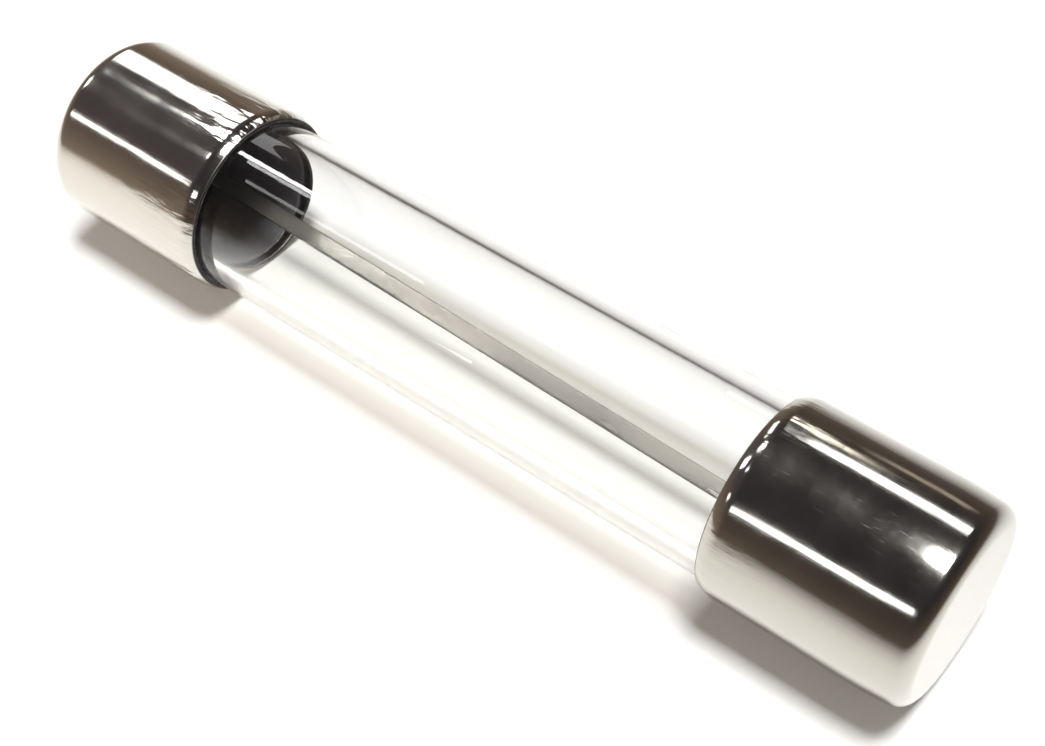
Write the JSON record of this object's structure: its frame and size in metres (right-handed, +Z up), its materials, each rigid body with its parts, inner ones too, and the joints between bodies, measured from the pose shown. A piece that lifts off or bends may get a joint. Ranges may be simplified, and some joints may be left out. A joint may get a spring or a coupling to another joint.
{
  "type": "glass cartridge fuse",
  "caption": "Cylindrical glass tube fuse with a plated metal cap on each end and a slightly twisted flat fuse strip soldered between the caps.",
  "frame": {"origin": "centre of the fuse, on its axis and halfway between the two end faces", "axes": "+X along the fuse axis towards end_cap_right, +Z up when the fuse lies on a surface, +Y to the far side"},
  "size_m": [0.032, 0.0064, 0.0064],
  "materials": {
    "glass": "clear, smooth drawn tube with fire-polished rims",
    "cap_plating": "bright nickel plating on drawn brass",
    "fuse_metal": "dull grey fuse alloy strip",
    "solder": "dull soft-solder, smooth meniscus",
    "cement": "dark grey sealing cement, matt"
  },
  "bodies": {
    "root": {"glass_tube": "glass", "end_cap_left": "cap_plating", "end_cap_right": "cap_plating", "fuse_strip": "fuse_metal", "solder_joint_left": "solder", "solder_joint_right": "solder", "cap_cement_left": "cement", "cap_cement_right": "cement"}
  },
  "joints": []
}
